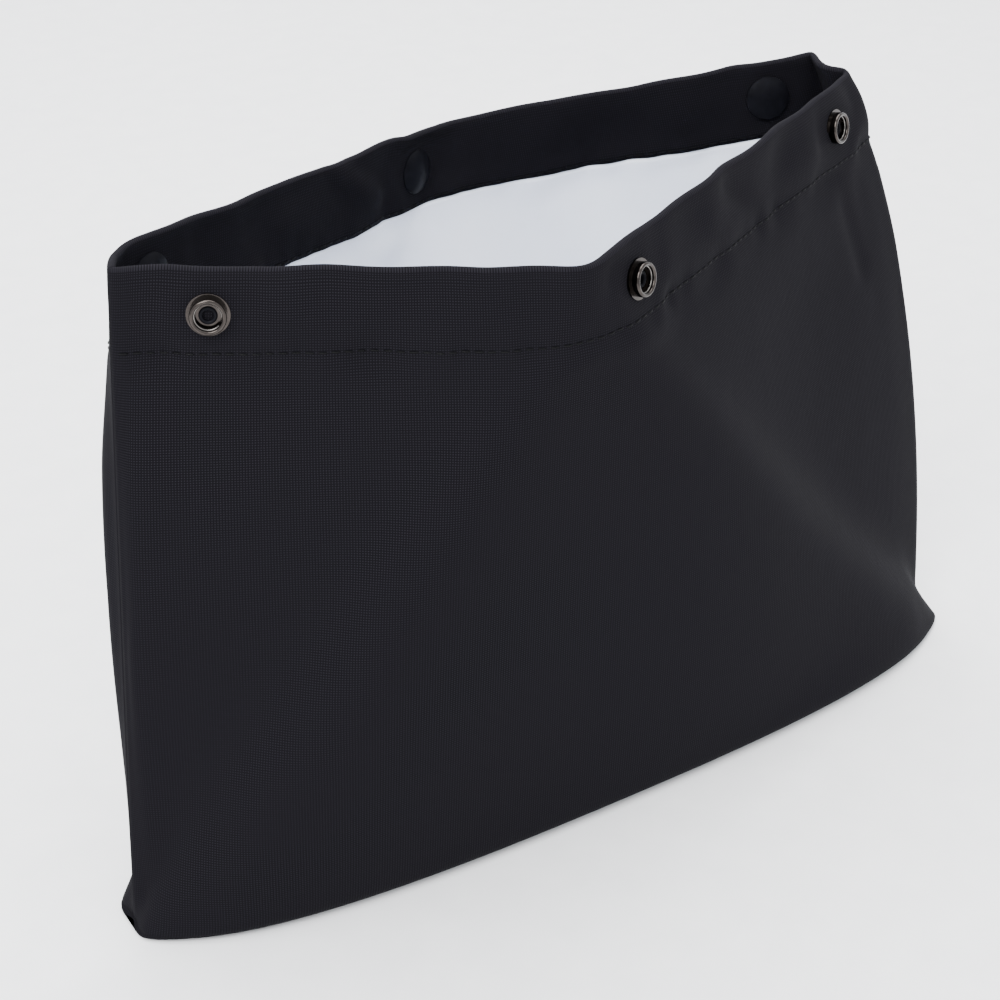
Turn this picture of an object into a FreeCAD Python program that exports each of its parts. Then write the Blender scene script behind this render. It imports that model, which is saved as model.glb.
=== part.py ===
"""Stand-up changing pouch with a snap-fastener mouth.

Frame: origin at the centre of the bottom, on the ground. +X to the right along the pouch,
+Y to the back, +Z up. The mouth stands open; millimetres throughout.

Each wall of cloth folds along creases that run from its bottom corners to its rim, so it is built as
zones: a middle zone that hinges on the bottom, a left and a right zone that hinge on its creases, and
narrow end zones that turn in towards the side seams. The zones beside the middle carry the hem facing,
its stitching and the snap fasteners.
"""
import FreeCAD, Part
import math
import os

Vector = FreeCAD.Vector

# Driving dimensions -------------------------------------------------------------------------------
HALF_LENGTH = 168.0                         # bottom corner to centre, along X
BOTTOM_DEPTH = 36.0                         # centre line to the bulging edge of the bottom
CORNER_DEPTH = 2.0                          # centre line to either wall, at the ends of the pouch
HINGE_HEIGHT = 2.0                          # the walls start this far above the ground

LEFT_SEAM = Vector(-147.0, 13.0, 222.0)     # rim points: the side seams
RIGHT_SEAM = Vector(127.0, 35.0, 222.0)
FRONT_APEX = Vector(-28.0, -48.0, 217.0)    # where each rim folds in the middle
BACK_APEX = Vector(9.0, 95.0, 206.0)
FRONT_RIGHT_TURN = Vector(124.0, 21.0, 222.0)    # where the rim turns in towards a seam
BACK_RIGHT_TURN = Vector(126.0, 49.0, 222.0)
BACK_LEFT_TURN = Vector(-134.0, 29.0, 222.0)

SHELL_THICKNESS = 0.8
LINING_THICKNESS = 0.5
FACING_THICKNESS = 0.8
HEM_DEPTH = 26.0                            # rim to the lower edge of the facing
STITCH_DEPTH = 24.0                         # rim to the row of top-stitching
STITCH_WIDTH = 0.5
STITCH_HEIGHT = 0.25
FOLD_GAP = 0.8                              # left free on each side of a crease
TURN_GAP = 1.4                              # the same at the sharper turns beside the end zones
SEAM_GAP = 2.0                              # left free on each side of a side seam
RIM_FOLD_LENGTH = 5.0                       # how far the middle zone stays below the folded rim
FOOT_GAP = 3.2                              # the same beside the bottom corners, where creases meet
BOTTOM_LINING_INSET = 2.0                   # keeps the bottom's lining clear of the walls
OVERRUN = 1.0                               # how far a cutting outline passes the cloth it cuts

SNAP_INSET = 27.0                           # side edge to the centre of an outer snap
SNAP_DEPTH = 12.5                           # rim to the centre of a snap
CAP_RADIUS = 7.5
CAP_RIM = 0.5
CAP_DOME = 1.8
POST_RADIUS = 2.3
POST_BORE = 1.5
POST_CLEARANCE = 0.1                        # between the post and its hole in the cloth
POST_ROLL_RADIUS = 2.7
SOCKET_RADIUS = 6.25
SOCKET_DRUM_RADIUS = 5.3
SOCKET_HEIGHT = 3.5
SOCKET_BRIM = 0.7
SOCKET_FLOOR = 0.9
SOCKET_MOUTH_RADIUS = 4.0
GROOVE_HEIGHT = 0.9
GROOVE_DEPTH = 0.35
SPRING_WIRE = 0.35
SPRING_OPENING = 40.0                       # degrees left open in the split ring

FRONT, BACK = -1, 1
CENTRE = Vector(0, 15.0, 100.0)              # a point well inside the pouch


# Cloth --------------------------------------------------------------------------------------------
def flat_face(corners):
    return Part.Face(Part.makePolygon(corners + corners[:1]))


def inset_outline(corners, gaps, normal):
    """Move each edge of a flat outline inwards by its own gap; gaps[i] belongs to corner i to i + 1."""
    lines = []
    for index, gap in enumerate(gaps):
        start = corners[index]
        along = (corners[(index + 1) % len(corners)] - start).normalize()
        lines.append((start + normal.cross(along) * gap, along))
    moved = []
    for index, (start, along) in enumerate(lines):
        previous_start, previous_along = lines[index - 1]
        across = normal.cross(previous_along)
        travel = (previous_start - start).dot(across) / along.dot(across)
        moved.append(start + along * travel)
    return moved


def layer(face, inward, offset, thickness):
    """One sheet of cloth: the outer surface moved inwards, then thickened."""
    return face.translated(inward * offset).extrude(inward * thickness)


class Zone:
    """A flat triangle of a wall between two lines that run up from a bottom corner to the rim."""

    def __init__(self, name, wall, side, outer, inner, outer_gap, inner_gap):
        self.name = name
        self.corner = Vector(side * HALF_LENGTH, wall * CORNER_DEPTH, HINGE_HEIGHT)
        self.outer = outer
        self.inner = inner
        self.run = (inner - outer).Length
        self.along = (inner - outer).normalize()
        normal = (inner - self.corner).cross(outer - self.corner).normalize()
        self.inward = normal * (-1 if normal.dot(CENTRE - outer) < 0 else 1)
        down = self.along.cross(self.inward).normalize()
        self.down = down * (-1 if down.z > 0 else 1)
        corners = [self.corner, inner, outer]
        gaps = [inner_gap, 0.0, outer_gap]
        if (inner - self.corner).cross(outer - inner).dot(self.inward) < 0:
            corners = [self.corner, outer, inner]
            gaps = [outer_gap, 0.0, inner_gap]
        self.outline = inset_outline(corners, gaps, self.inward)

    def point(self, from_outer, below_rim):
        """A place on the outer surface, measured along the rim from its outer end."""
        return self.outer + self.along * from_outer + self.down * below_rim

    def cloth(self, offset, thickness, top=-OVERRUN, bottom=2 * HALF_LENGTH):
        """A layer of the zone between two depths below the rim."""
        reach = 2 * HALF_LENGTH
        band = [self.point(-reach, top), self.point(reach, top),
                self.point(reach, bottom), self.point(-reach, bottom)]
        sheet = layer(flat_face(self.outline), self.inward, offset, thickness)
        return sheet.common(layer(flat_face(band), self.inward, offset, thickness))

    def shell(self):
        return self.cloth(0, SHELL_THICKNESS)

    def lining(self):
        return self.cloth(SHELL_THICKNESS, LINING_THICKNESS, top=HEM_DEPTH)

    def hem_facing(self):
        return self.cloth(SHELL_THICKNESS, FACING_THICKNESS, bottom=HEM_DEPTH)

    def hem_stitching(self):
        return self.cloth(-STITCH_HEIGHT, STITCH_HEIGHT, STITCH_DEPTH, STITCH_DEPTH + STITCH_WIDTH)

    def placement(self, from_outer):
        """Where a snap sits: its own +Z points out of the pouch and its +X runs along the rim."""
        outward = self.inward * -1
        upward = outward.cross(self.along)
        base = self.point(from_outer, SNAP_DEPTH)
        return FreeCAD.Placement(FreeCAD.Matrix(
            self.along.x, upward.x, outward.x, base.x,
            self.along.y, upward.y, outward.y, base.y,
            self.along.z, upward.z, outward.z, base.z,
            0, 0, 0, 1))


def wall_zones():
    """The flat zones of both walls; outer is the rim point nearer the side seam."""
    left, right = -1, 1
    return {
        FRONT: [
            Zone("front_left", FRONT, left, LEFT_SEAM, FRONT_APEX, SEAM_GAP, FOLD_GAP),
            Zone("front_right", FRONT, right, FRONT_RIGHT_TURN, FRONT_APEX, TURN_GAP, FOLD_GAP),
            Zone("front_right_end", FRONT, right, RIGHT_SEAM, FRONT_RIGHT_TURN, SEAM_GAP, TURN_GAP),
        ],
        BACK: [
            Zone("back_left_end", BACK, left, LEFT_SEAM, BACK_LEFT_TURN, SEAM_GAP, TURN_GAP),
            Zone("back_left", BACK, left, BACK_LEFT_TURN, BACK_APEX, TURN_GAP, FOLD_GAP),
            Zone("back_right", BACK, right, BACK_RIGHT_TURN, BACK_APEX, TURN_GAP, FOLD_GAP),
            Zone("back_right_end", BACK, right, RIGHT_SEAM, BACK_RIGHT_TURN, SEAM_GAP, TURN_GAP),
        ],
    }


def bottom_arc(wall, depth, length, height):
    """The bulging edge of the bottom on one side, as an arc from left to right."""
    return Part.Arc(Vector(-length, wall * CORNER_DEPTH, height), Vector(0, wall * depth, height),
                    Vector(length, wall * CORNER_DEPTH, height)).toShape()


def middle_zone(wall, offset, thickness):
    """The middle of a wall: a cone of cloth from the bottom's curved edge up to the folded rim."""
    apex = FRONT_APEX if wall == FRONT else BACK_APEX
    foot = bottom_arc(wall, BOTTOM_DEPTH, HALF_LENGTH - FOOT_GAP, HINGE_HEIGHT)
    ends = []
    for side in (-1, 1):
        corner = Vector(side * HALF_LENGTH, wall * CORNER_DEPTH, HINGE_HEIGHT)
        crease = (corner - apex).normalize()
        ends.append(apex + crease * RIM_FOLD_LENGTH + Vector(-side * FOLD_GAP, 0, 0))
    head = Part.LineSegment(ends[0], ends[1]).toShape()
    lean = (apex - Vector(apex.x, wall * (BOTTOM_DEPTH + CORNER_DEPTH) / 2, HINGE_HEIGHT)).normalize()
    inward = Vector(wall, 0, 0).cross(lean)
    return layer(Part.makeRuledSurface(foot, head), inward, offset, thickness)


def bottom_sheet(inset, height, thickness):
    length = HALF_LENGTH - inset
    depth = BOTTOM_DEPTH - inset
    front = bottom_arc(FRONT, depth, length, height)
    back = bottom_arc(BACK, depth, length, height)
    left = Part.LineSegment(front.Vertexes[0].Point, back.Vertexes[0].Point).toShape()
    right = Part.LineSegment(front.Vertexes[-1].Point, back.Vertexes[-1].Point).toShape()
    outline = Part.Wire([front, right, back, left])
    return Part.Face(outline).extrude(Vector(0, 0, thickness))


# Snap fasteners -----------------------------------------------------------------------------------
def turned(profile, arcs):
    """A solid of revolution about +Z from (radius, height) points.

    arcs gives, for the index of the point where an arc starts, the point that it passes through.
    """
    points = [Vector(radius, 0, height) for radius, height in profile]
    edges = []
    for index, start in enumerate(points):
        end = points[(index + 1) % len(points)]
        if index in arcs:
            radius, height = arcs[index]
            edges.append(Part.Arc(start, Vector(radius, 0, height), end).toShape())
        else:
            edges.append(Part.LineSegment(start, end).toShape())
    return Part.Face(Part.Wire(edges)).revolve(Vector(0, 0, 0), Vector(0, 0, 1), 360)


def snap_cap():
    """Domed cap inside the pouch, with a hollow post through the cloth that is rolled over outside."""
    seat = -(SHELL_THICKNESS + FACING_THICKNESS)
    rim = seat - CAP_RIM
    sphere_radius = (CAP_RADIUS ** 2 + CAP_DOME ** 2) / (2 * CAP_DOME)
    half_radius = CAP_RADIUS / 2
    half_rise = math.sqrt(sphere_radius ** 2 - half_radius ** 2) - (sphere_radius - CAP_DOME)
    roll = POST_ROLL_RADIUS - POST_BORE
    profile = [(0, rim - CAP_DOME), (CAP_RADIUS, rim), (CAP_RADIUS, seat), (POST_RADIUS, seat),
               (POST_RADIUS, SOCKET_FLOOR), (POST_ROLL_RADIUS, SOCKET_FLOOR), (POST_BORE, SOCKET_FLOOR),
               (POST_BORE, 0), (0, 0)]
    arcs = {0: (half_radius, rim - half_rise),
            5: (POST_BORE + roll / 2, SOCKET_FLOOR + roll / 2)}
    return turned(profile, arcs)


def snap_socket():
    """Stepped drum outside the pouch, with a groove round its mouth for the ring spring."""
    wall_middle = (SOCKET_FLOOR + SOCKET_HEIGHT) / 2
    groove_low = wall_middle - GROOVE_HEIGHT / 2
    groove_high = wall_middle + GROOVE_HEIGHT / 2
    groove_radius = SOCKET_MOUTH_RADIUS + GROOVE_DEPTH
    lip_middle = (SOCKET_DRUM_RADIUS + SOCKET_MOUTH_RADIUS) / 2
    lip_base = SOCKET_HEIGHT - (SOCKET_DRUM_RADIUS - SOCKET_MOUTH_RADIUS) / 2
    profile = [(POST_RADIUS, 0), (SOCKET_RADIUS, 0), (SOCKET_RADIUS, SOCKET_BRIM),
               (SOCKET_DRUM_RADIUS, SOCKET_BRIM), (SOCKET_DRUM_RADIUS, lip_base),
               (SOCKET_MOUTH_RADIUS, lip_base), (SOCKET_MOUTH_RADIUS, groove_high),
               (groove_radius, groove_high), (groove_radius, groove_low),
               (SOCKET_MOUTH_RADIUS, groove_low), (SOCKET_MOUTH_RADIUS, SOCKET_FLOOR),
               (POST_RADIUS, SOCKET_FLOOR)]
    return turned(profile, {4: (lip_middle, SOCKET_HEIGHT)})


def snap_spring():
    """Split wire ring seated in the socket's groove."""
    height = (SOCKET_FLOOR + SOCKET_HEIGHT) / 2
    ring_radius = SOCKET_MOUTH_RADIUS + GROOVE_DEPTH - SPRING_WIRE
    wire = Part.makeCircle(SPRING_WIRE, Vector(ring_radius, 0, height), Vector(0, 1, 0))
    return Part.Face(Part.Wire(wire)).revolve(Vector(0, 0, 0), Vector(0, 0, 1), 360 - SPRING_OPENING)


def snap_hole(placement):
    """Clears the post's way through shell and facing."""
    depth = SHELL_THICKNESS + FACING_THICKNESS
    base = Vector(0, 0, -depth - OVERRUN)
    drill = Part.makeCylinder(POST_RADIUS + POST_CLEARANCE, depth + 2 * OVERRUN, base)
    drill.Placement = placement
    return drill


# Assembly -----------------------------------------------------------------------------------------
def snap_places(zones):
    """Where a wall's snaps sit: zones in order along the rim, each snap measured from the left seam."""
    rim_length = sum(zone.run for zone in zones)
    places = []
    for name, distance in (("left", SNAP_INSET), ("middle", rim_length / 2),
                           ("right", rim_length - SNAP_INSET)):
        start = 0.0
        for zone in zones:
            if start <= distance < start + zone.run:
                travel = distance - start
                runs_inwards = zone.along.x > 0
                places.append((name, zone, travel if runs_inwards else zone.run - travel))
            start += zone.run
    return places


def build():
    parts = {
        "bottom_shell": bottom_sheet(0, 0, SHELL_THICKNESS),
        "bottom_lining": bottom_sheet(BOTTOM_LINING_INSET, SHELL_THICKNESS, LINING_THICKNESS),
    }
    for wall, zones in wall_zones().items():
        wall_name = "front" if wall == FRONT else "back"
        places = snap_places(zones)
        parts[f"{wall_name}_middle_shell"] = middle_zone(wall, 0, SHELL_THICKNESS)
        parts[f"{wall_name}_middle_lining"] = middle_zone(wall, SHELL_THICKNESS, LINING_THICKNESS)
        for zone in zones:
            drills = [snap_hole(owner.placement(travel)) for _, owner, travel in places if owner is zone]
            parts[f"{zone.name}_shell"] = zone.shell().cut(drills)
            parts[f"{zone.name}_lining"] = zone.lining()
            parts[f"{zone.name}_hem_facing"] = zone.hem_facing().cut(drills)
            parts[f"{zone.name}_hem_stitching"] = zone.hem_stitching()
        for place_name, zone, travel in places:
            pieces = (("cap", snap_cap()), ("socket", snap_socket()), ("ring_spring", snap_spring()))
            for piece, shape in pieces:
                shape.Placement = zone.placement(travel)
                parts[f"{wall_name}_{place_name}_snap_{piece}"] = shape
    return parts


def main():
    os.makedirs("parts", exist_ok=True)
    for name, shape in build().items():
        box = shape.BoundBox
        print(f"{name:34s} valid={shape.isValid()} solids={len(shape.Solids)} "
              f"y {box.YMin:7.1f} {box.YMax:7.1f} z {box.ZMin:6.1f} {box.ZMax:6.1f}")
        shape.exportStep(f"parts/{name}.step")


main()
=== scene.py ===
"""Looks of the stand-up changing pouch: one loft of cloth round the CAD zones, softened by simulation."""
import math

import bmesh
import bpy
import numpy as np
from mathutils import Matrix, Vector, noise


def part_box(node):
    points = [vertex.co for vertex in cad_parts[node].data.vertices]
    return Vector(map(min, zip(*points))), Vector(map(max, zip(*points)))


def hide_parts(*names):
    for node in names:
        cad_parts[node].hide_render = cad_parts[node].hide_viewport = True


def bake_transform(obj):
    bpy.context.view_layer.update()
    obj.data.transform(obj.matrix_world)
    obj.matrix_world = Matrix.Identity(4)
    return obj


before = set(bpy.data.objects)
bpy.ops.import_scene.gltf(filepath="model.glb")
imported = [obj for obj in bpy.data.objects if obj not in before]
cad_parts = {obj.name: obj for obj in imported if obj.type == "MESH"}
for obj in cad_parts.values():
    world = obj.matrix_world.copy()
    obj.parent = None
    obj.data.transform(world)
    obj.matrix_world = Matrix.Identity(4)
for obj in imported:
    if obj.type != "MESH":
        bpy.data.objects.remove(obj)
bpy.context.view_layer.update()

MM = 0.001

# Driving dimensions, metres, in the shared frame --------------------------------------------------
FOOT_ENDS = {-1: -0.172, 1: 0.174}           # ends of the foot's curve, before the seams draw it in
RIM_SPREAD = {-1: 0.0035, 1: 0.0075}         # how far the rim puffs out beside each side seam
FOOT_DEPTH = 0.0385                          # bulge of the foot in the middle of a wall
FOOT_ROUNDNESS = 2.6                         # superellipse exponent of the foot's outline
SIDE_BULGE = {-1: 0.005, 1: 0.011}           # the same at mid height
CORNER_X = 0.168                             # the flat bottom's corners, where the side seams start
CORNER_DEPTH = 0.002                         # from the centre line to either wall at those corners
HINGE_HEIGHT = 0.002                         # of the walls' hinges above the ground
TUCK_REACH = 0.012                           # beside a side seam the cloth is drawn in to it
SEAM_REACH = 0.0018                          # softening at the side edges
CREASE_REACH = (0.005, 0.012)                # softening elsewhere, at the rim and at the foot
# where the CAD's side seams, creases and turns meet the rim
LEFT_SEAM = (-0.147, 0.013, 0.222)
RIGHT_SEAM = (0.127, 0.035, 0.222)
APEX = {"front": (-0.028, -0.048, 0.217), "back": (0.009, 0.095, 0.206)}
LEFT_TURN = {"back": (-0.134, 0.029, 0.222)}
RIGHT_TURN = {"front": (0.124, 0.021, 0.222), "back": (0.126, 0.049, 0.222)}

SHELL = 0.8 * MM
LINING = 0.5 * MM
FACING = 0.8 * MM
LINING_GAP = 0.02 * MM                       # keeps shell and lining from sharing a face
FOLD_TURNS = (math.pi / 4, math.pi / 2, 3 * math.pi / 4)    # points round the folded rim
HEM_DEPTH = 26 * MM
STITCH_DEPTH = 24 * MM
STITCH_PITCH = 3.75 * MM
STITCH_LENGTH = 2.9 * MM
THREAD_RADIUS = 0.24 * MM
THREAD_TIP = 0.02 * MM                       # added to the radius, so that no ring closes to a point
THREAD_RISE = 0.22 * MM                      # how far a stitch's middle stands above its ends
THREAD_SINK = 0.06 * MM                      # how far its ends lie in the cloth
THREAD_RINGS = 7
THREAD_SIDES = 6

COLUMNS = 96                                 # simulated columns along each wall
WALL_ROWS = 54                               # simulated rows from foot to rim
BOTTOM_ROWS = 8                              # simulated rows from the centre line to the foot
REFINE = 2                                   # finer grid after the simulation
OVERSAMPLE = 8                               # outlines are softened on a grid this much finer
FOOT_SMOOTHINGS = 3
LINING_INSET = 4                             # fine columns of bare cloth beside a side seam
SIMULATED_FRAMES = 24
CLOTH_SETTINGS = {"quality": 6, "mass": 0.12, "tension_stiffness": 18, "compression_stiffness": 12,
                  "shear_stiffness": 6, "bending_stiffness": 6, "air_damping": 3, "shrink_min": -0.0015}
SEWN_COLUMNS = 2                             # columns beside a side seam that don't settle
SAG_LIMIT = 5 * MM                           # no point settles further than this
FOLD_BAND = 8 * MM                           # cloth beside a crease that bends with it
TURN_BAND = 4 * MM                           # the same beside the sharper turns at the ends
SEAM_KEEP = (4 * MM, 30 * MM)                # crisp up to the first, soft from the second
GROUND_GAP = 0.6 * MM
BOTTOM_LINING_SHARE = (0.975, 0.95, 1.0)     # keeps the bottom's lining inside the walls
BOTTOM_ROW_PITCH = 2.0 * MM                  # of the weave on the bottom
PUFF_REACH = 3 * MM
RIM_PUFF = 0.9 * MM                          # the folded edge is plumper than its two layers
RIM_WAVE = 1.3 * MM                          # how far the rim wanders up and down
RIM_WAVE_LENGTH = 26 * MM
RIM_WAVE_FALL = 12                           # power of the height: keeps the wander near the rim
STITCH_WANDER = 0.35 * MM
WANDER_LENGTH = 9 * MM
CUT_FROM_TURN = 8 * MM                       # the end strips start this far before a turn
WALL_HEIGHT = 0.222                          # from foot to rim
SEAM_CALM = 12 * MM                          # wrinkles fade out towards a side seam
SNAP_CALM = (10 * MM, 18 * MM)               # cloth is flat under a snap up to the first distance
BROAD_WAVE = 2.6 * MM
BROAD_LENGTH = 75 * MM
BROAD_START = 9                              # waves are full a ninth of the way up
BROAD_FADE = 40 * MM                         # waves grow over this distance below the hem
HEM_RUMPLE = 2.2 * MM
RUMPLE_LENGTH = 20 * MM
RUMPLE_FADE = 12 * MM                        # rumples die out over this distance below the hem
PUCKER = 1.1 * MM
PUCKER_LENGTH = 7 * MM
STITCH_PULL = 4 * MM                         # how far from the stitches the cloth is drawn in
STITCH_DIP = 0.6 * MM
BELLY = 8 * MM                               # the back wall bows out between two of its snaps
BELLY_PLACE = 0.050                          # the belly's middle, along X
BELLY_WIDTH = 30 * MM
BELLY_DEPTHS = (30 * MM, 120 * MM)           # below the rim: fullest, and gone again
CREASES = (                                  # start, end, width, depth
    ((-0.128, 0.004, 0.214), (-0.060, -0.030, 0.180), 3.5 * MM, 1.6 * MM),
    ((-0.150, 0.006, 0.196), (-0.160, 0.004, 0.100), 4.0 * MM, 1.6 * MM),
    ((0.112, 0.012, 0.190), (0.128, 0.008, 0.150), 4.0 * MM, 1.8 * MM),
    ((0.122, 0.020, 0.196), (0.134, 0.012, 0.130), 4.5 * MM, 2.0 * MM),
    ((-0.052, 0.066, 0.214), (-0.026, 0.076, 0.190), 4.0 * MM, 2.2 * MM),
    ((-0.016, 0.080, 0.210), (0.020, 0.086, 0.186), 4.0 * MM, 2.0 * MM),
    ((-0.020, -0.046, 0.216), (0.002, -0.038, 0.186), 4.0 * MM, 1.4 * MM),
    ((0.040, -0.016, 0.218), (0.070, -0.004, 0.192), 3.5 * MM, 1.4 * MM),
)
WALL_LENGTH = 0.330                          # nominal, from seam to seam
THREAD_PITCH = 0.8 * MM                      # of the weave

CAMERA_PLACE = (-0.3203, -0.4687, 0.4606)
CAMERA_TARGET = (-0.02319, 0.00728, 0.110)
LENS = 72                                    # millimetres, on a sensor 36 wide
SENSOR_WIDTH = 36
FLOOR_HALF = 4.0
SKY_COLOUR = (0.95, 0.97, 1.0, 1)
SKY_STRENGTH = 2.3
LIGHT_TARGET = (0, 0, 0.1)
LIGHTS = (                                   # name, place, size, watts
    ("key_light", (-0.9, -0.5, 1.3), 0.9, 30.0),
    ("top_light", (0.3, 0.4, 1.6), 1.2, 40.0),
    ("back_light", (-0.2, 1.3, 0.9), 1.2, 4.0),
)


# Shape of the cloth before it sags ----------------------------------------------------------------
def resample(points, count):
    """count points evenly spaced along a polyline."""
    points = np.asarray(points, float)
    steps = np.linalg.norm(np.diff(points, axis=0), axis=1)
    travelled = np.concatenate([[0.0], np.cumsum(steps)])
    wanted = np.linspace(0, travelled[-1], count)
    return np.stack([np.interp(wanted, travelled, points[:, axis]) for axis in range(3)], axis=1)


def foot_curve(wall, count=161):
    """The foot's outline on one side, left to right."""
    side = -1 if wall == "front" else 1
    turn = np.linspace(math.pi, 0, count)
    half = (FOOT_ENDS[1] - FOOT_ENDS[-1]) / 2
    middle = (FOOT_ENDS[1] + FOOT_ENDS[-1]) / 2
    x = middle + np.sign(np.cos(turn)) * np.abs(np.cos(turn)) ** (2 / FOOT_ROUNDNESS) * half
    y = side * np.abs(np.sin(turn)) ** (2 / FOOT_ROUNDNESS) * FOOT_DEPTH
    return np.stack([x, y, np.zeros(count)], axis=1)


def spread(point, wall):
    """A rim point moved outwards, away from the wall's apex, so that the cloth keeps its plane."""
    point = np.array(point)
    away = point - np.array(APEX[wall])
    away[2] = 0
    return point + away / np.linalg.norm(away) * RIM_SPREAD[-1 if away[0] < 0 else 1]


def wall_slice(wall, share):
    """A wall's outline at a share of its height: flat zones beside the scaled foot curve."""
    bow = 4 * share * (1 - share)
    left_corner = np.array([FOOT_ENDS[-1], 0, 0])
    right_corner = np.array([FOOT_ENDS[1], 0, 0])
    rim_left = [spread(LEFT_SEAM, "front")]
    if wall in LEFT_TURN:
        rim_left.append(spread(LEFT_TURN[wall], wall))
    rim_right = [spread(RIGHT_TURN[wall], wall), spread(RIGHT_SEAM, "front")]
    middle = np.array(APEX[wall]) * share + foot_curve(wall) * (1 - share)
    before = [left_corner + (np.array(p) - left_corner) * share - (SIDE_BULGE[-1] * bow, 0, 0)
              for p in rim_left]
    after = [right_corner + (np.array(p) - right_corner) * share + (SIDE_BULGE[1] * bow, 0, 0)
             for p in rim_right]
    return resample(np.vstack([before, middle, after]), OVERSAMPLE * COLUMNS + 1)


def soften(loop, reach):
    """Round a closed line's corners with a Gaussian of that reach."""
    step = np.linalg.norm(np.diff(loop, axis=0), axis=1).mean()
    half = max(1, int(3 * reach / step))
    weights = np.exp(-0.5 * (np.arange(-half, half + 1) * step / reach) ** 2)
    weights /= weights.sum()
    padded = np.concatenate([loop[-half:], loop, loop[:half]])
    return np.stack([np.convolve(padded[:, axis], weights, "valid") for axis in range(3)], axis=1)


def from_seam_column(count, seam_column):
    """Distance of every column of a closed outline from one of its two side seams."""
    half = count // 2
    return np.abs((np.arange(count) - seam_column + half) % count - half) / half * WALL_LENGTH


def tucked(outline, share):
    """The outline drawn in to the side seams, the only lines that front and back share as they move."""
    count = len(outline)
    for side, seam, seam_column in ((-1, LEFT_SEAM, 0), (1, RIGHT_SEAM, count // 2)):
        corner = np.array([side * CORNER_X, 0, 0])
        pull = corner + (np.array(seam) - corner) * share - outline[seam_column]
        near = smooth_step(1 - from_seam_column(count, seam_column) / TUCK_REACH)
        outline = outline + near[:, None] * pull
    return outline


def wall_row(share):
    """The pouch's outline at a share of its height: crisp at the side edges, soft at the creases."""
    front = wall_slice("front", share)
    back = wall_slice("back", share)[::-1]
    loop = np.vstack([front[:-1], back[:-1]])
    rim_reach, foot_reach = CREASE_REACH
    crisp = soften(loop, SEAM_REACH)
    soft = soften(loop, rim_reach + (foot_reach - rim_reach) * (1 - share) ** 0.6)
    column = np.arange(len(loop))
    half = len(loop) // 2
    from_seam = np.minimum(column % half, half - column % half) / half * WALL_LENGTH
    share_soft = smooth_step((from_seam - SEAM_KEEP[0]) / (SEAM_KEEP[1] - SEAM_KEEP[0]))[:, None]
    return tucked(crisp * (1 - share_soft) + soft * share_soft, share)[::OVERSAMPLE]


def smooth_step(value):
    """0 up to 0, 1 from 1 on, and a smooth rise between them."""
    value = np.clip(value, 0, 1)
    return value * value * (3 - 2 * value)


def rest_rows():
    """Rows of points round the pouch: bottom centre line, out to the foot, then up to the rim."""
    walls = [wall_row(share) for share in np.linspace(0, 1, WALL_ROWS)]
    bottom = [walls[0] * (1, share, 1) for share in np.linspace(0, 1, BOTTOM_ROWS + 1)[:-1]]
    rows = np.array(bottom + walls)
    rows[:, :, 2] = np.maximum(rows[:, :, 2], GROUND_GAP)
    for _ in range(FOOT_SMOOTHINGS):
        span = slice(BOTTOM_ROWS - 2, BOTTOM_ROWS + 3)
        before, after = rows[BOTTOM_ROWS - 3:BOTTOM_ROWS + 2], rows[BOTTOM_ROWS - 1:BOTTOM_ROWS + 4]
        rows[span] = rows[span] * 0.5 + (before + after) * 0.25
    return rows


# Simulation ---------------------------------------------------------------------------------------
def grid_mesh(name, rows):
    """A closed tube of quads from rows of points; the first row is the bottom's centre line."""
    row_count, column_count = rows.shape[:2]
    faces = []
    for row in range(row_count - 1):
        for column in range(column_count):
            beside = (column + 1) % column_count
            base = row * column_count
            faces.append((base + column, base + beside, base + column_count + beside,
                          base + column_count + column))
    mesh = bpy.data.meshes.new(name)
    mesh.from_pydata(rows.reshape(-1, 3).tolist(), [], faces)
    return mesh


def sag(rows):
    """Let the walls settle between the fixed bottom and the stiff hem."""
    cloth = bpy.data.objects.new("settling_cloth", grid_mesh("settling_cloth", rows))
    bpy.context.scene.collection.objects.link(cloth)
    held = cloth.vertex_groups.new(name="held")
    column_count = rows.shape[1]
    half = column_count // 2
    for row in range(rows.shape[0]):
        above_foot = (row - BOTTOM_ROWS) / (WALL_ROWS - 1)
        in_hem = above_foot >= 1 - HEM_DEPTH / WALL_HEIGHT
        for column in range(column_count):
            from_seam = min(column % half, half - column % half)
            if above_foot <= 0 or in_hem or from_seam <= SEWN_COLUMNS:
                held.add([row * column_count + column], 1.0, "REPLACE")
    modifier = cloth.modifiers.new("settle", "CLOTH")
    for setting, value in CLOTH_SETTINGS.items():
        setattr(modifier.settings, setting, value)
    modifier.settings.vertex_group_mass = "held"
    modifier.collision_settings.use_collision = False
    scene = bpy.context.scene
    for number in range(1, SIMULATED_FRAMES + 1):
        scene.frame_set(number)
    settled = cloth.evaluated_get(bpy.context.evaluated_depsgraph_get())
    places = np.array([vertex.co for vertex in settled.data.vertices]).reshape(rows.shape)
    bpy.data.objects.remove(cloth)
    scene.frame_set(1)
    moved = places - rows
    distance = np.linalg.norm(moved, axis=2, keepdims=True)
    return rows + moved * (np.tanh(distance / SAG_LIMIT) * SAG_LIMIT / np.maximum(distance, 1e-9))


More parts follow.
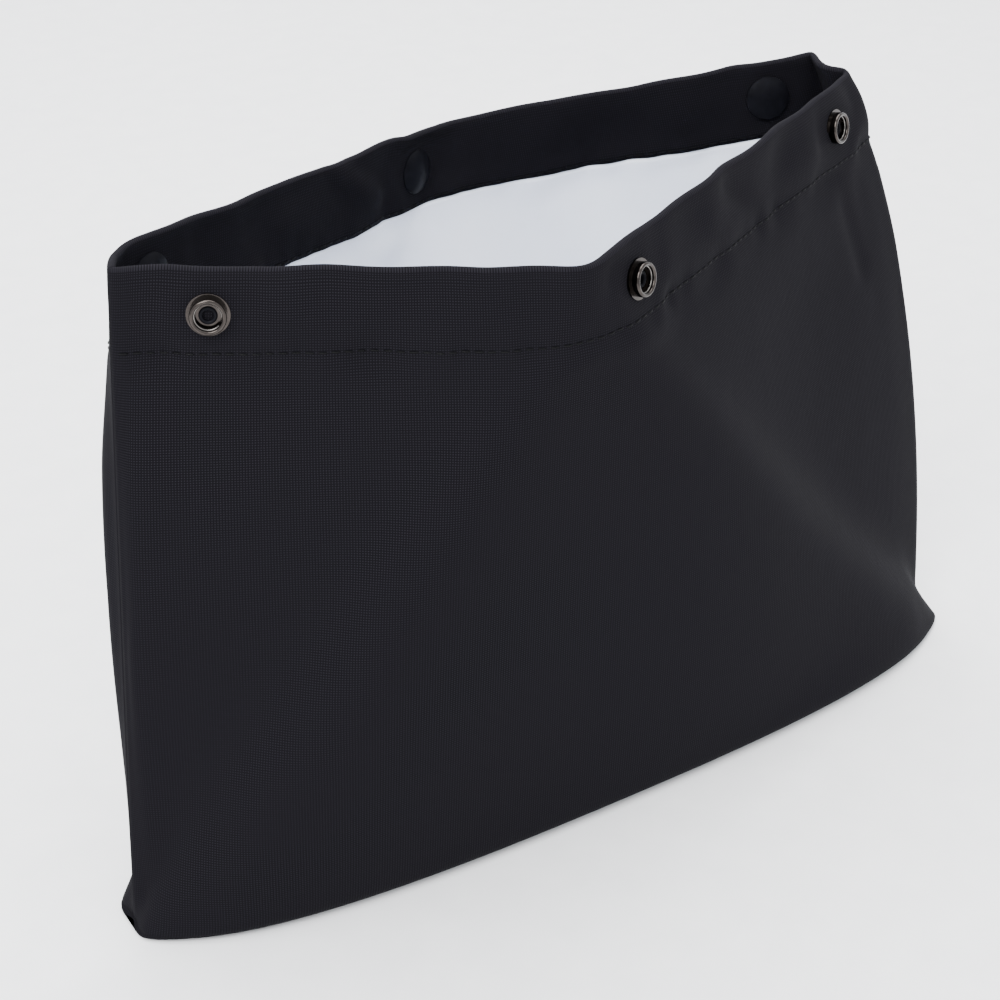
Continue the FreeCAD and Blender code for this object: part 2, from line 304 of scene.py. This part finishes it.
def catmull_rom(points, closed, factor):
    """A smooth run through the points, with factor steps from each to the next."""
    count = len(points)
    ahead = np.roll(points, -1, 0) if closed else np.vstack([points[1:], points[-1:]])
    behind = np.roll(points, 1, 0) if closed else np.vstack([points[:1], points[:-1]])
    beyond = np.roll(points, -2, 0) if closed else np.vstack([ahead[1:], ahead[-1:]])
    made = []
    for index in range(count if closed else count - 1):
        for part in range(factor):
            t = part / factor
            made.append(0.5 * (2 * points[index] + (ahead[index] - behind[index]) * t
                               + (2 * behind[index] - 5 * points[index] + 4 * ahead[index]
                                  - beyond[index]) * t ** 2
                               + (3 * points[index] - behind[index] - 3 * ahead[index]
                                  + beyond[index]) * t ** 3))
    if not closed:
        made.append(points[-1])
    return np.array(made)


def refine(rows, factor):
    """A finer grid through the same points, smooth both ways."""
    finer = catmull_rom(rows, False, factor)
    return catmull_rom(finer.transpose(1, 0, 2), True, factor).transpose(1, 0, 2)


# Wrinkles -----------------------------------------------------------------------------------------
def snap_centres():
    """Middle of every snap, from the frame."""
    centres = []
    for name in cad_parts:
        if name.endswith("_snap_socket"):
            low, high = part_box(name)
            centres.append(np.array((low + high) / 2))
    return centres


def noise_field(points, wavelength, seed):
    """Smooth noise, about -1 to 1, at every point of a grid."""
    offset = Vector((seed * 7.3, seed * 3.1, seed * 1.7))
    flat = points.reshape(-1, 3) / wavelength
    return np.array([noise.noise(Vector(p) + offset) for p in flat]).reshape(points.shape[:2])


def groove(points, start, end, width):
    """1 on the line between two places, falling off on both sides and at its ends."""
    start, end = np.array(start), np.array(end)
    along = end - start
    share = ((points - start) @ along) / (along @ along)
    nearest = start + np.clip(share, 0, 1)[..., None] * along
    distance = np.linalg.norm(points - nearest, axis=2)
    return np.exp(-(distance / width) ** 2) * smooth_step(np.minimum(share, 1 - share) * 4 + 0.15)


def belly(rows, below_rim):
    """The back wall's outward bow below the hem, clear of the snaps on both sides of it."""
    on_back = np.arange(rows.shape[1]) >= rows.shape[1] // 2
    across = np.exp(-((rows[:, :, 0] - BELLY_PLACE) / BELLY_WIDTH) ** 2)
    fullest, gone = BELLY_DEPTHS
    down = smooth_step(below_rim / fullest) * smooth_step((gone - below_rim) / (gone - fullest))
    return across * on_back * down * BELLY


def looseness(rows):
    """How freely the cloth wrinkles: 0 under a snap and at a side seam, 1 well away from both."""
    loose = np.ones(rows.shape[:2])
    for centre in snap_centres():
        distance = np.linalg.norm(rows - centre, axis=2)
        loose *= smooth_step((distance - SNAP_CALM[0]) / (SNAP_CALM[1] - SNAP_CALM[0]))
    for seam_column in (0, rows.shape[1] // 2):
        loose *= smooth_step(from_seam_column(rows.shape[1], seam_column) / SEAM_CALM)
    return loose


def wrinkle(rows, normals):
    """Loose cloth: broad waves on the walls, rumples in the hem, puckers at the stitches."""
    wall_rows = (WALL_ROWS - 1) * REFINE
    foot = BOTTOM_ROWS * REFINE
    share = np.clip((np.arange(rows.shape[0]) - foot) / wall_rows, 0, 1)[:, None]
    below_rim = (1 - share) * WALL_HEIGHT
    loose = looseness(rows)
    on_wall = smooth_step(share * BROAD_START) * smooth_step((below_rim - HEM_DEPTH) / BROAD_FADE)
    on_hem = smooth_step(1 - (below_rim - HEM_DEPTH) / RUMPLE_FADE)
    at_stitches = np.exp(-((below_rim - STITCH_DEPTH) / STITCH_PULL) ** 2)
    push = noise_field(rows * (1, 1, 0.5), BROAD_LENGTH, 1) * on_wall * BROAD_WAVE
    push += noise_field(rows, RUMPLE_LENGTH, 2) * on_hem * HEM_RUMPLE
    push += noise_field(rows * (1, 1, 0.35), PUCKER_LENGTH, 3) * at_stitches * PUCKER
    push -= at_stitches * STITCH_DIP
    push += belly(rows, below_rim)
    for start, end, width, depth in CREASES:
        push -= groove(rows, start, end, width) * depth
    moved = rows + normals * (push * loose)[..., None]
    wander = noise_field(rows * (1, 1, 0), RIM_WAVE_LENGTH, 4) * RIM_WAVE * loose
    moved[:, :, 2] += wander * share ** RIM_WAVE_FALL
    return moved


# Layers of cloth ----------------------------------------------------------------------------------
def outward_normals(rows):
    """Unit normals of the grid, pointing out of the pouch."""
    across = np.roll(rows, -1, 1) - np.roll(rows, 1, 1)
    upward = np.gradient(rows, axis=0)
    normals = np.cross(across, upward)
    normals /= np.maximum(np.linalg.norm(normals, axis=2, keepdims=True), 1e-12)
    foot = BOTTOM_ROWS * REFINE
    flat = smooth_step((foot - np.arange(len(rows))) / (2 * REFINE))[:, None, None]
    normals = normals * (1 - flat) + np.array((0, 0, -1)) * flat
    return normals / np.linalg.norm(normals, axis=2, keepdims=True)


def swept_solid(name, sections, lengths, heights):
    """A closed strip: one closed cross-section per column, capped at both ends. lengths and heights
    place each point on the flat cloth, in metres, for the weave."""
    count, size = sections.shape[:2]
    faces = [tuple(range(size))[::-1]]
    for column in range(count - 1):
        for index in range(size):
            after = (index + 1) % size
            base, beside = column * size, (column + 1) * size
            faces.append((base + index, base + after, beside + after, beside + index))
    faces.append(tuple(range((count - 1) * size, count * size)))
    mesh = bpy.data.meshes.new(name)
    mesh.from_pydata(sections.reshape(-1, 3).tolist(), [], faces)
    flat = np.stack([np.repeat(lengths, size), np.tile(heights, count)], axis=1)
    layer = mesh.uv_layers.new(name="cloth")
    corners = np.array([loop.vertex_index for loop in mesh.loops])
    layer.data.foreach_set("uv", flat[corners].ravel().astype(np.float32))
    work = bmesh.new()
    work.from_mesh(mesh)
    bmesh.ops.recalc_face_normals(work, faces=work.faces)
    work.to_mesh(mesh)
    work.free()
    mesh.update()
    store = mesh.attributes.new("whole_normal", "FLOAT_VECTOR", "POINT")
    store.data.foreach_set("vector", np.array([v.normal for v in mesh.vertices], np.float32).ravel())
    return mesh


def shell_sections(points, normals, foot, hem):
    """Outer cloth: up the outside, over the folded rim, and down the facing inside."""
    top = points.shape[0] - 1
    fold_radius = (SHELL + FACING + RIM_PUFF) / 2
    upward = points[top] - points[top - 1]
    upward /= np.linalg.norm(upward, axis=1, keepdims=True)
    outside = points[foot:]
    fold = [points[top] - normals[top] * fold_radius * (1 - math.cos(turn))
            + upward * fold_radius * math.sin(turn)
            for turn in FOLD_TURNS]
    below_rim = (top - np.arange(points.shape[0])) / (top - foot) * WALL_HEIGHT
    thickness = (SHELL + FACING + RIM_PUFF * np.exp(-below_rim / PUFF_REACH))[:, None, None]
    facing = (points - normals * thickness)[hem:][::-1]
    inside = (points - normals * SHELL)[foot:hem + 1][::-1]
    return np.concatenate([outside, fold, facing, inside]).transpose(1, 0, 2)


def lining_sections(points, normals, first, last):
    """A thinner sheet just inside the outer cloth, between two rows."""
    back = (points - normals * (SHELL + LINING_GAP))[first:last + 1]
    face = (points - normals * (SHELL + LINING))[first:last + 1][::-1]
    return np.concatenate([back, face]).transpose(1, 0, 2)


def bottom_corner(wall, side):
    """Where a wall's creases meet, at one end of the bottom."""
    return Vector((side * CORNER_X, CORNER_DEPTH * (-1 if wall == "front" else 1), HINGE_HEIGHT))


def fan_cut(wall, side, turn_point, seam_point):
    """The plane from a bottom corner to a rim point just beside a turn, square to the wall."""
    corner = bottom_corner(wall, side)
    turn = Vector(turn_point)
    along = (Vector(APEX[wall]) - turn).normalized()
    rim_point = turn + along * CUT_FROM_TURN
    inward = (rim_point - corner).cross(along).normalized()
    normal = (rim_point - corner).cross(inward).normalized()
    if normal.dot(Vector(seam_point) - rim_point) < 0:
        normal.negate()
    return rim_point, normal


def bend_band(wall, side, crease_point, zone_point, reach):
    """Start and end of a blend: reach deep in the zone of zone_point, and on the crease itself."""
    corner = bottom_corner(wall, side)
    crease = (Vector(crease_point) - corner).normalized()
    away = Vector(zone_point) - corner
    away = (away - crease * away.dot(crease)).normalized()
    return corner + away * reach, corner


def crease_band(wall, side, side_point):
    """The blend beside a wall's middle crease, in its side zone."""
    return bend_band(wall, side, APEX[wall], side_point, FOLD_BAND)


def turn_band(wall, side, turn_point):
    """The same beside a turn: the cloth bends just before it, in the wider zone."""
    return bend_band(wall, side, turn_point, APEX[wall], TURN_BAND)


def regions():
    """Each visible strip of wall: its name, the cuts that bound it, the bodies it bends between."""
    mid = {wall: (Vector(APEX[wall]), Vector((1, 0, 0))) for wall in APEX}
    front_end = fan_cut("front", 1, RIGHT_TURN["front"], RIGHT_SEAM)
    back_end = fan_cut("back", 1, RIGHT_TURN["back"], RIGHT_SEAM)
    left_end = fan_cut("back", -1, LEFT_TURN["back"], LEFT_SEAM)
    return {
        "front": [
            ("front_left", [(mid["front"], -1)], "front_left", "front_middle",
             crease_band("front", -1, LEFT_SEAM)),
            ("front_right", [(mid["front"], 1), (front_end, -1)], "front_right", "front_middle",
             crease_band("front", 1, RIGHT_TURN["front"])),
            ("front_right_end", [(front_end, 1)], "front_right", "front_right_end",
             turn_band("front", 1, RIGHT_TURN["front"])),
        ],
        "back": [
            ("back_left_end", [(left_end, 1)], "back_left", "back_left_end",
             turn_band("back", -1, LEFT_TURN["back"])),
            ("back_left", [(left_end, -1), (mid["back"], -1)], "back_left", "back_middle",
             crease_band("back", -1, LEFT_TURN["back"])),
            ("back_right", [(mid["back"], 1), (back_end, -1)], "back_right", "back_middle",
             crease_band("back", 1, RIGHT_TURN["back"])),
            ("back_right_end", [(back_end, 1)], "back_right", "back_right_end",
             turn_band("back", 1, RIGHT_TURN["back"])),
        ],
    }


def cut_strip(mesh, cuts, name):
    """The part of a wall between its cuts, closed where it was cut."""
    work = bmesh.new()
    work.from_mesh(mesh)
    for (point, normal), keep in cuts:
        everything = list(work.verts) + list(work.edges) + list(work.faces)
        cut = bmesh.ops.bisect_plane(work, geom=everything, dist=1e-7, plane_co=point, plane_no=normal,
                                     clear_inner=keep > 0, clear_outer=keep < 0)
        open_edges = [e for e in cut["geom_cut"] if isinstance(e, bmesh.types.BMEdge) and e.is_boundary]
        bmesh.ops.triangle_fill(work, edges=open_edges, use_beauty=True)
    strip = bpy.data.meshes.new(name)
    work.to_mesh(strip)
    work.free()
    strip.shade_smooth()
    store = strip.attributes["whole_normal"]
    normals = np.zeros(len(strip.vertices) * 3, np.float32)
    store.data.foreach_get("vector", normals)
    strip.normals_split_custom_set_from_vertices(normals.reshape(-1, 3).tolist())
    piece = bpy.data.objects.new(name, strip)
    bpy.context.scene.collection.objects.link(piece)
    return piece


def is_inside(places, cuts):
    """Which of the places lie between the cuts."""
    inside = np.ones(np.shape(places)[:-1], bool)
    for (point, normal), keep in cuts:
        inside &= (np.asarray(places) - np.array(point)) @ np.array(normal) * keep >= 0
    return inside


def declare_sheet(flat_points, cuts):
    """Works out which cells of the flat cloth, as it was before it sagged and wrinkled, lie between the
    cuts; the result is neither kept nor used.
    """
    across = (flat_points[:, 1:] - flat_points[:, :-1])[:-1]
    upward = (flat_points[1:] - flat_points[:-1])[:, :-1]
    inside = is_inside(flat_points[:-1, :-1] + (across + upward) / 2, cuts)


def stitch_mesh(name, places):
    """Short threads sunk at both ends, one per (centre, along, outward)."""
    vertices = []
    faces = []
    for centre, along, outward in places:
        base = len(vertices)
        across = along.cross(outward)
        for ring in range(THREAD_RINGS):
            share = ring / (THREAD_RINGS - 1) * 2 - 1
            girth = math.sqrt(max(0.0, 1 - share ** 4)) * THREAD_RADIUS + THREAD_TIP
            lift = (1 - share ** 2) * THREAD_RISE - THREAD_SINK
            middle = centre + along * (share * STITCH_LENGTH / 2) + outward * lift
            for side in range(THREAD_SIDES):
                angle = side / THREAD_SIDES * 2 * math.pi
                vertices.append(middle + (across * math.cos(angle) + outward * math.sin(angle)) * girth)
        for ring in range(THREAD_RINGS - 1):
            for side in range(THREAD_SIDES):
                beside = (side + 1) % THREAD_SIDES
                first, second = base + ring * THREAD_SIDES, base + (ring + 1) * THREAD_SIDES
                faces.append((first + side, first + beside, second + beside, second + side))
        last = base + (THREAD_RINGS - 1) * THREAD_SIDES
        faces.append(tuple(range(base, base + THREAD_SIDES))[::-1])
        faces.append(tuple(range(last, last + THREAD_SIDES)))
    mesh = bpy.data.meshes.new(name)
    mesh.from_pydata([tuple(v) for v in vertices], [], faces)
    mesh.shade_smooth()
    return mesh


# Materials ----------------------------------------------------------------------------------------
def new_material(name):
    """A material with its node tree and its main shader."""
    material = bpy.data.materials.new(name)
    material.use_nodes = True
    return material, material.node_tree, material.node_tree.nodes["Principled BSDF"]


def add_node(tree, kind, **inputs):
    """A node with its inputs set; an underscore stands for a space."""
    node = tree.nodes.new(kind)
    for key, value in inputs.items():
        node.inputs[key.replace("_", " ")].default_value = value
    return node


def tinted(tree, source, dark, light, shader):
    """Drives the base colour between two shades with a texture's value."""
    ramp = tree.nodes.new("ShaderNodeValToRGB")
    ramp.color_ramp.elements[0].color = (*dark, 1)
    ramp.color_ramp.elements[1].color = (*light, 1)
    ramp.color_ramp.elements[0].position = 0.3
    ramp.color_ramp.elements[1].position = 0.7
    tree.links.new(source, ramp.inputs["Fac"])
    tree.links.new(ramp.outputs["Color"], shader.inputs["Base Color"])


def roughened(tree, source, low, high, shader):
    """Drives the roughness between two values with a texture's value."""
    span = tree.nodes.new("ShaderNodeMapRange")
    span.inputs["To Min"].default_value = low
    span.inputs["To Max"].default_value = high
    tree.links.new(source, span.inputs["Value"])
    tree.links.new(span.outputs["Result"], shader.inputs["Roughness"])


def bumped(tree, source, strength, distance, before=None):
    """A bump node, on top of an earlier one where that is given."""
    bump = add_node(tree, "ShaderNodeBump", Strength=strength, Distance=distance)
    tree.links.new(source, bump.inputs["Height"])
    if before is not None:
        tree.links.new(before.outputs["Normal"], bump.inputs["Normal"])
    return bump


def nylon_cloth():
    """Fine black plain weave, shaded by its own threads, with soft rumples and hardly any gloss."""
    material, tree, shader = new_material("nylon_cloth")
    uv = tree.nodes.new("ShaderNodeUVMap")
    uv.uv_map = "cloth"
    threads = []
    for direction in ("X", "Y"):
        wave = add_node(tree, "ShaderNodeTexWave", Scale=math.pi / (10 * THREAD_PITCH), Distortion=0.6,
                        Detail=1.0)
        wave.bands_direction = direction
        tree.links.new(uv.outputs["UV"], wave.inputs["Vector"])
        threads.append(wave.outputs["Fac"])
    weave = tree.nodes.new("ShaderNodeMath")
    weave.operation = "MULTIPLY"
    tree.links.new(threads[0], weave.inputs[0])
    tree.links.new(threads[1], weave.inputs[1])
    rumple = add_node(tree, "ShaderNodeTexNoise", Scale=38.0, Detail=5.0, Roughness=0.55)
    tree.links.new(uv.outputs["UV"], rumple.inputs["Vector"])
    fibre = add_node(tree, "ShaderNodeTexNoise", Scale=1400.0, Detail=2.0)
    tree.links.new(uv.outputs["UV"], fibre.inputs["Vector"])
    tinted(tree, weave.outputs["Value"], (0.0043, 0.0040, 0.0051), (0.0125, 0.0117, 0.0150), shader)
    roughened(tree, fibre.outputs["Fac"], 0.55, 0.75, shader)
    coarse = bumped(tree, rumple.outputs["Fac"], 0.35, 1.2 * MM)
    fine = bumped(tree, weave.outputs["Value"], 0.45, 0.12 * MM, coarse)
    tree.links.new(fine.outputs["Normal"], shader.inputs["Normal"])
    shader.inputs["Specular IOR Level"].default_value = 0.015
    shader.inputs["Sheen Weight"].default_value = 0.004
    shader.inputs["Sheen Roughness"].default_value = 0.45
    return material


def coated_lining():
    """White coated cloth: smooth, slightly cool, with faint scuffs and a soft gloss."""
    material, tree, shader = new_material("coated_lining")
    uv = tree.nodes.new("ShaderNodeUVMap")
    uv.uv_map = "cloth"
    clouds = add_node(tree, "ShaderNodeTexNoise", Scale=22.0, Detail=6.0, Roughness=0.6)
    grain = add_node(tree, "ShaderNodeTexNoise", Scale=900.0, Detail=3.0)
    for texture in (clouds, grain):
        tree.links.new(uv.outputs["UV"], texture.inputs["Vector"])
    tinted(tree, clouds.outputs["Fac"], (0.80, 0.84, 0.93), (0.87, 0.90, 0.98), shader)
    roughened(tree, clouds.outputs["Fac"], 0.42, 0.6, shader)
    coarse = bumped(tree, clouds.outputs["Fac"], 0.25, 1.0 * MM)
    fine = bumped(tree, grain.outputs["Fac"], 0.12, 0.05 * MM, coarse)
    tree.links.new(fine.outputs["Normal"], shader.inputs["Normal"])
    shader.inputs["Coat Weight"].default_value = 0.15
    return material


def sewing_thread():
    """Black polyester thread with a twisted ply."""
    material, tree, shader = new_material("sewing_thread")
    place = tree.nodes.new("ShaderNodeTexCoord")
    ply = add_node(tree, "ShaderNodeTexWave", Scale=900.0, Distortion=0.4)
    ply.bands_direction = "DIAGONAL"
    tree.links.new(place.outputs["Object"], ply.inputs["Vector"])
    tinted(tree, ply.outputs["Fac"], (0.0006, 0.0006, 0.0008), (0.002, 0.002, 0.0026), shader)
    roughened(tree, ply.outputs["Fac"], 0.5, 0.65, shader)
    shader.inputs["Specular IOR Level"].default_value = 0.1
    twist = bumped(tree, ply.outputs["Fac"], 0.5, 0.08 * MM)
    tree.links.new(twist.outputs["Normal"], shader.inputs["Normal"])
    return material


def plated(name, dark, light, rough, metallic, specular, grain_scale):
    """Plated or enamelled snap metal with fine handling marks."""
    material, tree, shader = new_material(name)
    place = tree.nodes.new("ShaderNodeTexCoord")
    marks = add_node(tree, "ShaderNodeTexNoise", Scale=grain_scale, Detail=6.0, Roughness=0.65)
    tree.links.new(place.outputs["Object"], marks.inputs["Vector"])
    tinted(tree, marks.outputs["Fac"], dark, light, shader)
    roughened(tree, marks.outputs["Fac"], rough - 0.04, rough + 0.06, shader)
    scuffs = bumped(tree, marks.outputs["Fac"], 0.05, 0.02 * MM)
    tree.links.new(scuffs.outputs["Normal"], shader.inputs["Normal"])
    shader.inputs["Metallic"].default_value = metallic
    shader.inputs["Specular IOR Level"].default_value = specular
    return material


# Pieces -------------------------------------------------------------------------------------------
def finish_piece(piece, material, nodes):
    """Gives a piece its material, hides the CAD nodes that it stands in for and bakes its transform into
    its mesh.
    """
    piece.data.materials.clear()
    piece.data.materials.append(material)
    if nodes:
        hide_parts(*nodes)
    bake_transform(piece)


def wall_columns(wall):
    """One wall's columns in the closed outline, from side seam to side seam."""
    columns = COLUMNS * REFINE
    first = 0 if wall == "front" else columns
    return (np.arange(columns + 1) + first) % (2 * columns)


def whole_wall(points, outward, foot, hem):
    """A wall's shell and its lining, each in one piece."""
    top = len(points) - 1
    heights = np.arange(top + 1) / (top - foot) * WALL_HEIGHT
    lengths = np.linspace(0, WALL_LENGTH, points.shape[1])
    below_hem = heights[foot:hem + 1]
    shell_heights = np.concatenate([heights[foot:], np.full(len(FOLD_TURNS), heights[top]),
                                    heights[hem:][::-1], below_hem[::-1]])
    shell = swept_solid("shell", shell_sections(points, outward, foot, hem), lengths, shell_heights)
    lined = slice(LINING_INSET, -LINING_INSET)
    sheet = lining_sections(points, outward, foot, hem)
    lining = swept_solid("lining", sheet[lined], lengths[lined],
                         np.concatenate([below_hem, below_hem[::-1]]))
    return shell, lining


def build_strip(strip, wall_meshes, places, flat_wall, lined_rows, materials):
    """One strip of a wall: its shell, its lining and its stitches."""
    name, cuts, body, neighbour, band = strip
    shell_mesh, lining_mesh = wall_meshes
    cloth, lining, thread = materials
    wall = name.split("_")[0]
    holds_middle = name == f"{wall}_left"
    shell_piece = cut_strip(shell_mesh, cuts, f"{name}_cloth")
    finish_piece(shell_piece, cloth,
                 [f"{name}_shell", f"{name}_hem_facing"] + [f"{wall}_middle_shell"] * holds_middle)
    lining_piece = cut_strip(lining_mesh, cuts, f"{name}_white_lining")
    finish_piece(lining_piece, lining,
                 [f"{name}_lining"] + [f"{wall}_middle_lining"] * holds_middle)
    own = [place for place in places if is_inside(place[0], cuts)]
    stitches = bpy.data.objects.new(f"{name}_stitches", stitch_mesh(f"{name}_stitches", own))
    bpy.context.scene.collection.objects.link(stitches)
    finish_piece(stitches, thread, [f"{name}_hem_stitching"])
    declare_sheet(flat_wall, cuts)
    flat_lining = flat_wall[:lined_rows, LINING_INSET:-LINING_INSET]
    declare_sheet(flat_lining, cuts)


def build_walls(rows, normals, flat_rows, materials):
    """Both walls as strips of shell and lining, with their rows of stitches."""
    wall_rows = (WALL_ROWS - 1) * REFINE
    foot = BOTTOM_ROWS * REFINE
    top = rows.shape[0] - 1
    hem = top - round(HEM_DEPTH / WALL_HEIGHT * wall_rows)
    for wall, strips in regions().items():
        order = wall_columns(wall)
        points, outward = rows[:, order], normals[:, order]
        meshes = whole_wall(points, outward, foot, hem)
        places = stitch_places(points, outward, top, wall_rows)
        for strip in strips:
            build_strip(strip, meshes, places, flat_rows[foot:, order], hem - foot + 1, materials)


def at_distance(values, travelled, distance):
    """The value at a distance along a line of values."""
    return Vector([np.interp(distance, travelled, values[:, axis]) for axis in range(3)])


def stitch_places(points, outward, top, wall_rows):
    """Evenly spaced stitches along the hem, with a little hand wander in their angle."""
    depth_rows = STITCH_DEPTH / WALL_HEIGHT * wall_rows
    row = int(top - depth_rows)
    share = (top - depth_rows) - row
    line = points[row] * (1 - share) + points[row + 1] * share
    facing = outward[row] * (1 - share) + outward[row + 1] * share
    steps = np.linalg.norm(np.diff(line, axis=0), axis=1)
    travelled = np.concatenate([[0.0], np.cumsum(steps)])
    places = []
    for distance in np.arange(STITCH_PITCH, travelled[-1] - STITCH_PITCH / 2, STITCH_PITCH):
        behind = at_distance(line, travelled, distance - MM)
        along = (at_distance(line, travelled, distance + MM) - behind).normalized()
        out = at_distance(facing, travelled, distance).normalized()
        wander = noise.noise(Vector((distance / WANDER_LENGTH, 0, 0))) * STITCH_WANDER
        outer_place = at_distance(line, travelled, distance) + Vector((0, 0, wander))
        places.append((outer_place, along, out))
        places.append((outer_place - out * (SHELL + FACING), along, -out))
    return places


def build_bottom(rows, normals, flat_rows, cloth, lining):
    """The bottom's two halves, each built from its own wall's columns."""
    foot = BOTTOM_ROWS * REFINE
    heights = np.arange(foot + 1) * BOTTOM_ROW_PITCH
    section_heights = np.concatenate([heights, heights[::-1]])
    for wall, side in (("front", -1), ("back", 1)):
        order = wall_columns(wall)
        lengths = np.linspace(0, WALL_LENGTH, len(order))
        points, outward = rows[:, order], normals[:, order]
        outer = points[:foot + 1]
        inner = (points - outward * SHELL)[:foot + 1][::-1]
        sections = np.concatenate([outer, inner]).transpose(1, 0, 2)
        holds_bottom = wall == "front"
        shell_piece = cut_strip(swept_solid("bottom", sections, lengths, section_heights), [],
                                f"bottom_{wall}_cloth")
        finish_piece(shell_piece, cloth, ["bottom_shell"] * holds_bottom)
        sheet = lining_sections(points * BOTTOM_LINING_SHARE, outward, 0, foot)
        lining_piece = cut_strip(swept_solid("bottom", sheet, lengths, section_heights), [],
                                 f"bottom_{wall}_white_lining")
        finish_piece(lining_piece, lining, ["bottom_lining"] * holds_bottom)
        flat_half = flat_rows[:foot + 1, order]
        declare_sheet(flat_half, [])
        declare_sheet(flat_half * BOTTOM_LINING_SHARE, [])


def dress_snaps():
    """Better metal on the CAD snaps, which stay as they are."""
    finishes = {
        "cap": plated("black_enamel", (0.003, 0.003, 0.004), (0.006, 0.006, 0.008), 0.3, 0.0, 0.03, 300.0),
        "socket": plated("gunmetal", (0.028, 0.024, 0.022), (0.055, 0.048, 0.044), 0.14, 1.0, 0.5, 350.0),
        "ring_spring": plated("spring_wire", (0.08, 0.075, 0.07), (0.16, 0.15, 0.14), 0.18, 1.0, 0.5,
                              400.0),
    }
    for name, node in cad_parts.items():
        for ending, material in finishes.items():
            if name.endswith(f"_snap_{ending}"):
                node.data.materials.clear()
                node.data.materials.append(material)
                node.data.shade_smooth()


# Studio -------------------------------------------------------------------------------------------
def plain_surface():
    """Matt white paper for the floor."""
    material, tree, shader = new_material("plain_floor")
    place = tree.nodes.new("ShaderNodeTexCoord")
    paper = add_node(tree, "ShaderNodeTexNoise", Scale=60.0, Detail=3.0)
    tree.links.new(place.outputs["Object"], paper.inputs["Vector"])
    tinted(tree, paper.outputs["Fac"], (0.86, 0.86, 0.87), (0.9, 0.9, 0.905), shader)
    shader.inputs["Roughness"].default_value = 0.6
    return material


def build_studio():
    """A plain floor, an even sky and three soft lights."""
    mesh = bpy.data.meshes.new("floor")
    corners = [(x * FLOOR_HALF, y * FLOOR_HALF, 0) for x, y in ((-1, -1), (1, -1), (1, 1), (-1, 1))]
    mesh.from_pydata(corners, [], [(0, 1, 2, 3)])
    mesh.materials.append(plain_surface())
    floor = bpy.data.objects.new("floor", mesh)
    bpy.context.scene.collection.objects.link(floor)
    world = bpy.data.worlds.new("soft_white")
    world.use_nodes = True
    sky = world.node_tree.nodes["Background"]
    sky.inputs["Color"].default_value = SKY_COLOUR
    sky.inputs["Strength"].default_value = SKY_STRENGTH
    bpy.context.scene.world = world
    for name, place, size, power in LIGHTS:
        light = bpy.data.lights.new(name, "AREA")
        light.size = size
        light.energy = power
        lamp = bpy.data.objects.new(name, light)
        lamp.location = place
        aim = Vector(LIGHT_TARGET) - Vector(place)
        lamp.rotation_euler = aim.to_track_quat("-Z", "Y").to_euler()
        bpy.context.scene.collection.objects.link(lamp)


def build_camera():
    """The photograph's viewpoint."""
    lens = bpy.data.cameras.new("camera")
    lens.lens = LENS
    lens.sensor_width = SENSOR_WIDTH
    camera = bpy.data.objects.new("camera", lens)
    camera.location = CAMERA_PLACE
    aim = Vector(CAMERA_TARGET) - Vector(CAMERA_PLACE)
    camera.rotation_euler = aim.to_track_quat("-Z", "Y").to_euler()
    bpy.context.scene.collection.objects.link(camera)
    bpy.context.scene.camera = camera


# Assembly -----------------------------------------------------------------------------------------
unsettled = rest_rows()
flat_rows = refine(unsettled, REFINE)
rows = refine(sag(unsettled), REFINE)
rows = wrinkle(rows, outward_normals(rows))
normals = outward_normals(rows)
materials = nylon_cloth(), coated_lining(), sewing_thread()
build_walls(rows, normals, flat_rows, materials)
build_bottom(rows, normals, flat_rows, *materials[:2])
dress_snaps()
build_studio()
build_camera()
